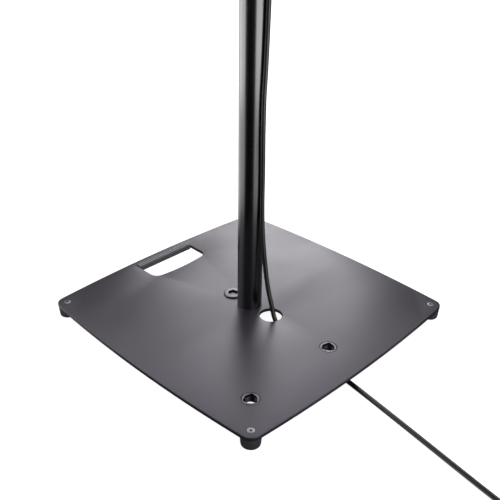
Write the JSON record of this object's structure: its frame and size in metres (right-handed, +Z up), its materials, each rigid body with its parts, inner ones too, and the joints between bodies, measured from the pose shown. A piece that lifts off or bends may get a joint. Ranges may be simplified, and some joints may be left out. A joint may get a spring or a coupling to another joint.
{
  "type": "speaker stand",
  "caption": "Floor stand for a loudspeaker: flat square steel base with rubber feet, carry slot and threaded sockets, telescopic centre pole with clamp and locking pin, and a coiled lead.",
  "frame": {"origin": "on the floor, on the axis of the pole, under the middle of the base plate", "axes": "+Z up along the pole; +X to the side of the base with the cable hole; -X to the side with the carry slot; -Y to the side the clamp knob faces"},
  "size_m": [0.8556, 0.45, 1.1041],
  "materials": {
    "powder_coat": "semi-gloss fine powder coat on steel",
    "tube_coat": "semi-gloss black powder coat on steel",
    "socket_steel": "satin black-nickel turned steel",
    "plug_metal": "satin turned steel",
    "zinc_steel": "bright zinc plate",
    "foot_rubber": "matte moulded rubber",
    "grip_plastic": "matte moulded plastic",
    "black_plastic": "fine-grained moulded nylon",
    "connector_plastic": "satin moulded plastic",
    "connector_insert": "satin moulded plastic",
    "strap_fabric": "woven hook-and-loop tape",
    "cable_jacket": "smooth flexible jacket, slightly glossy"
  },
  "bodies": {
    "base": {"base_plate": "powder_coat", "socket_centre": "socket_steel", "socket_spare": "socket_steel", "socket_side": "socket_steel", "socket_corner": "socket_steel", "blanking_plug": "plug_metal", "handle_grip": "grip_plastic", "foot_front": "foot_rubber", "foot_screw_front": "zinc_steel", "foot_washer_front": "zinc_steel", "foot_nut_front": "zinc_steel", "foot_right": "foot_rubber", "foot_screw_right": "zinc_steel", "foot_washer_right": "zinc_steel", "foot_nut_right": "zinc_steel", "foot_back": "foot_rubber", "foot_screw_back": "zinc_steel", "foot_washer_back": "zinc_steel", "foot_nut_back": "zinc_steel", "foot_left": "foot_rubber", "foot_screw_left": "zinc_steel", "foot_washer_left": "zinc_steel", "foot_nut_left": "zinc_steel", "lower_tube": "tube_coat", "pole_foot_plug": "zinc_steel", "clamp_collar": "black_plastic", "collar_set_screw_1": "zinc_steel", "collar_set_screw_2": "zinc_steel", "guide_bush": "black_plastic", "pressure_pad": "black_plastic", "pole_connector_nut": "connector_plastic", "pole_connector_shell": "connector_plastic", "pole_connector_nose": "connector_insert", "floor_connector_nut": "connector_plastic", "floor_connector_shell": "connector_plastic", "floor_connector_nose": "connector_insert", "cable_strap": "strap_fabric", "connector_strap": "strap_fabric", "coil_tie": "strap_fabric", "cable": "cable_jacket", "cable_coil": "cable_jacket"},
    "rod": {"upper_tube": "tube_coat", "upper_tube_glide": "black_plastic", "pole_end_cap": "black_plastic"},
    "lock_pin": {"locking_pin": "zinc_steel"},
    "pull_ring": {"pin_pull_ring": "zinc_steel"},
    "knob": {"clamp_knob": "black_plastic", "clamp_screw": "zinc_steel"}
  },
  "joints": [
    {"name": "rod_slide", "type": "slide", "parent": "base", "child": "rod", "axis": [0, 0, 1], "range_m": [0, 0.48]},
    {"name": "pin_pull", "type": "slide", "parent": "rod", "child": "lock_pin", "axis": [-1, 0, 0], "range_m": [0, 0.045]},
    {"name": "ring_swing", "type": "hinge", "parent": "lock_pin", "child": "pull_ring", "pos_m": [-0.037, 0, 0.9694], "axis": [0, 1, 0], "range_deg": [-10, 85]},
    {"name": "knob_turn", "type": "hinge", "parent": "base", "child": "knob", "pos_m": [0, 0, 0.94205], "axis": [0, -1, 0], "range_deg": [0, 270]}
  ]
}
